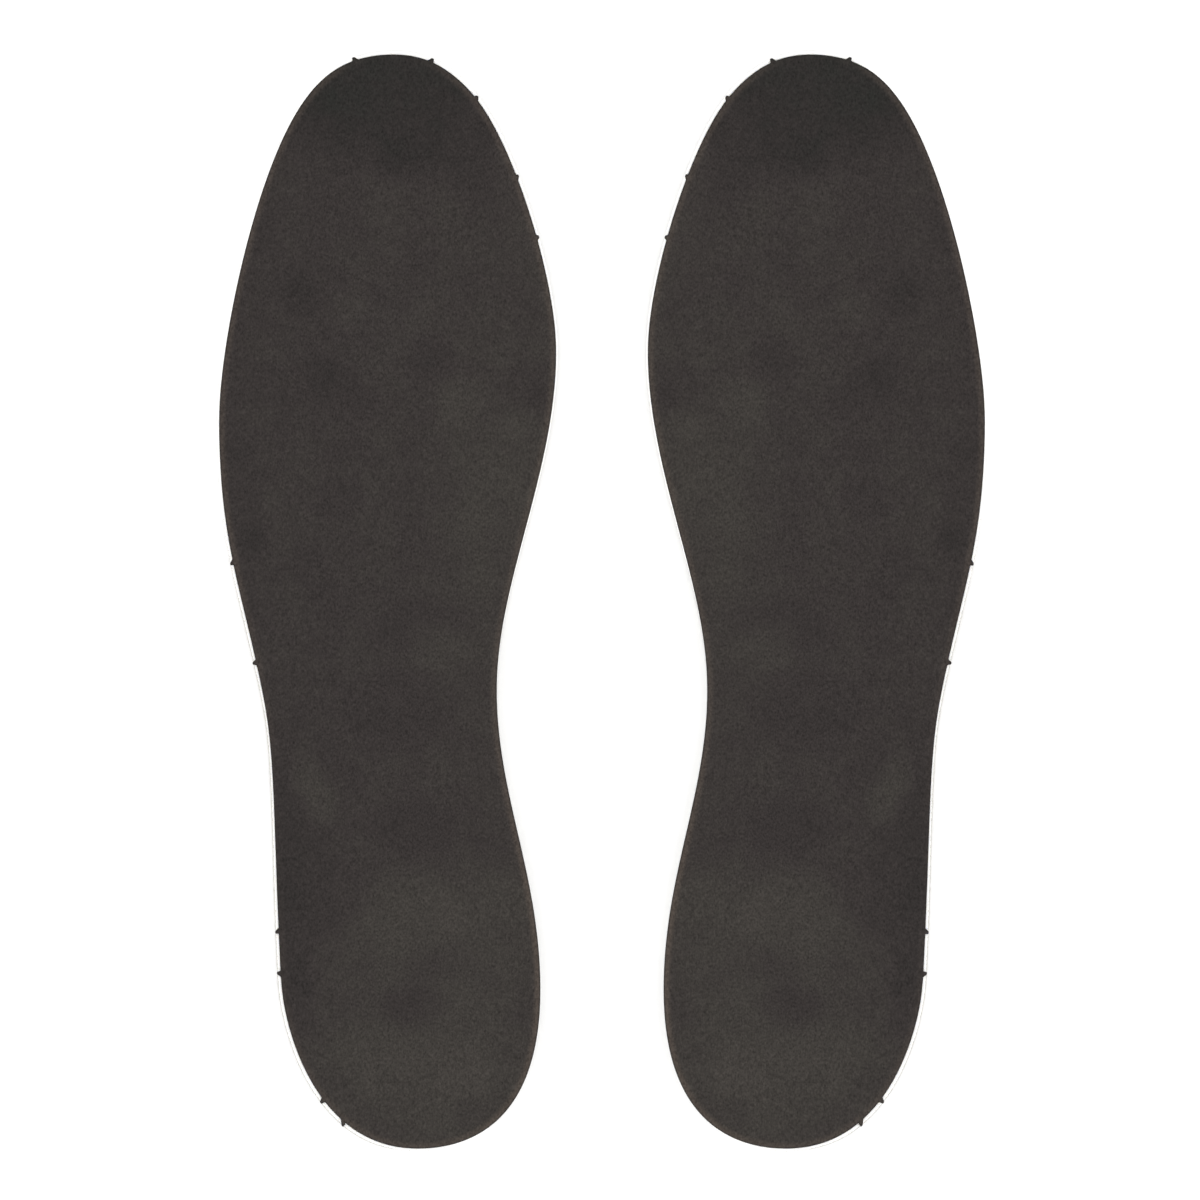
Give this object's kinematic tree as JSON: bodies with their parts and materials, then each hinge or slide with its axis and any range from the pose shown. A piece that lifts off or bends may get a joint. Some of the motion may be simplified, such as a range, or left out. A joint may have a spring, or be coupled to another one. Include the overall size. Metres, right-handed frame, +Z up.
{
  "type": "cushioned insole pair",
  "caption": "Pair of flat foot-shaped insoles: napped fabric top cover on a latex foam bed with heel, arch and forefoot pads let in above a thin base sheet.",
  "frame": {"origin": "middle of the pair's bounding box, on the surface that the insoles lie on", "axes": "+Y from the heels to the toes, +Z up, +X from the left insole to the right insole"},
  "size_m": [0.1896, 0.2716, 0.0074],
  "materials": {
    "cover": "short suede-like nap, matt, charcoal with faint brown and olive mottling",
    "foam": "matt natural latex foam with a fine open skin",
    "pad": "matt dense cushioning foam rubber",
    "base": "matt pressed fleece with fine rubber anti-slip dots"
  },
  "bodies": {
    "left_insole": {"left_top_cover": "cover", "left_foam_bed": "foam", "left_heel_pad": "pad", "left_arch_pad": "pad", "left_forefoot_pad": "pad", "left_base_sheet": "base"},
    "right_insole": {"right_top_cover": "cover", "right_foam_bed": "foam", "right_heel_pad": "pad", "right_arch_pad": "pad", "right_forefoot_pad": "pad", "right_base_sheet": "base"}
  },
  "joints": [
    {"name": "right_insole_lift", "type": "slide", "parent": "left_insole", "child": "right_insole", "axis": [0, 0, 1], "range_m": [0, 0.12]}
  ]
}
